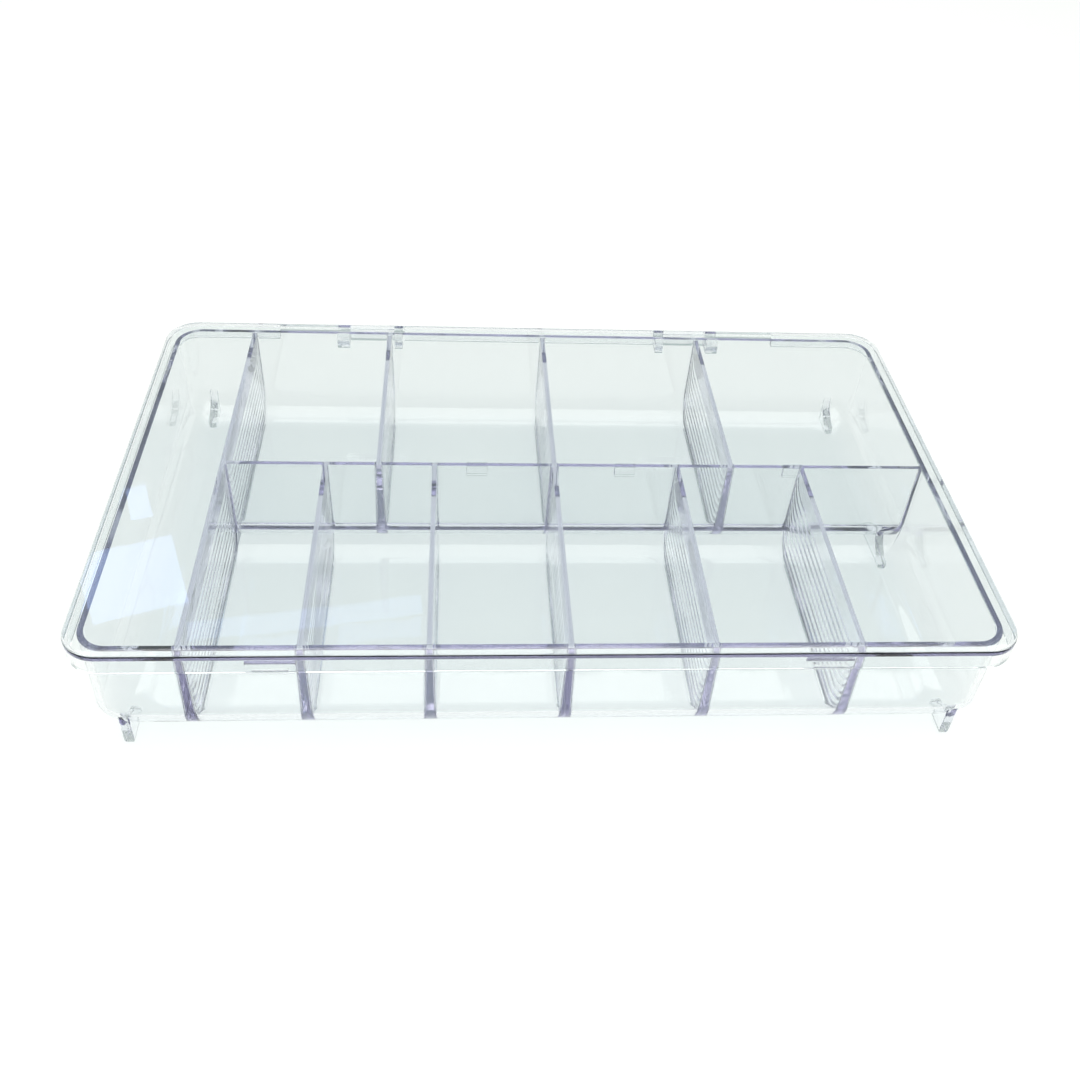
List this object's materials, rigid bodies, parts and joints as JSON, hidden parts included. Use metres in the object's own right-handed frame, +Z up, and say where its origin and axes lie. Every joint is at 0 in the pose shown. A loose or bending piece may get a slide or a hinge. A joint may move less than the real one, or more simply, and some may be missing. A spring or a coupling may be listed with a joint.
{
  "type": "parts sorting tray",
  "caption": "Flat clear plastic parts tray with scooped compartments of several widths and a hinged snap-shut lid.",
  "frame": {"origin": "centre of the closed tray's outline, hinge included, on the surface the feet stand on", "axes": "+X to the right along the long side, +Y to the hinge side, +Z up; the full-depth column is at -X"},
  "size_m": [0.273, 0.1726, 0.042],
  "materials": {
    "tray_plastic": "gloss",
    "lid_plastic": "gloss"
  },
  "bodies": {
    "tray": {"tray_shell": "tray_plastic", "long_divider": "tray_plastic", "cross_divider": "tray_plastic", "rear_divider_1": "tray_plastic", "rear_divider_2": "tray_plastic", "rear_divider_3": "tray_plastic", "front_divider_1": "tray_plastic", "front_divider_2": "tray_plastic", "front_divider_3": "tray_plastic", "front_divider_4": "tray_plastic", "front_divider_5": "tray_plastic", "foot_front_left": "tray_plastic", "foot_front_right": "tray_plastic", "foot_rear_left": "tray_plastic", "foot_rear_right": "tray_plastic", "foot_middle_right": "tray_plastic", "hinge_lug_left_inner": "tray_plastic", "hinge_lug_left_outer": "tray_plastic", "hinge_lug_right_inner": "tray_plastic", "hinge_lug_right_outer": "tray_plastic", "catch_left": "tray_plastic", "catch_right": "tray_plastic"},
    "lid": {"lid_panel": "lid_plastic", "lid_skirt": "lid_plastic", "hinge_knuckle_left": "lid_plastic", "hinge_knuckle_right": "lid_plastic", "snap_bead_left": "lid_plastic", "snap_bead_right": "lid_plastic"}
  },
  "joints": [
    {"name": "lid_hinge", "type": "hinge", "parent": "tray", "child": "lid", "pos_m": [0, 0.0839, 0.035], "axis": [-1, 0, 0], "range_deg": [0, 180]}
  ]
}
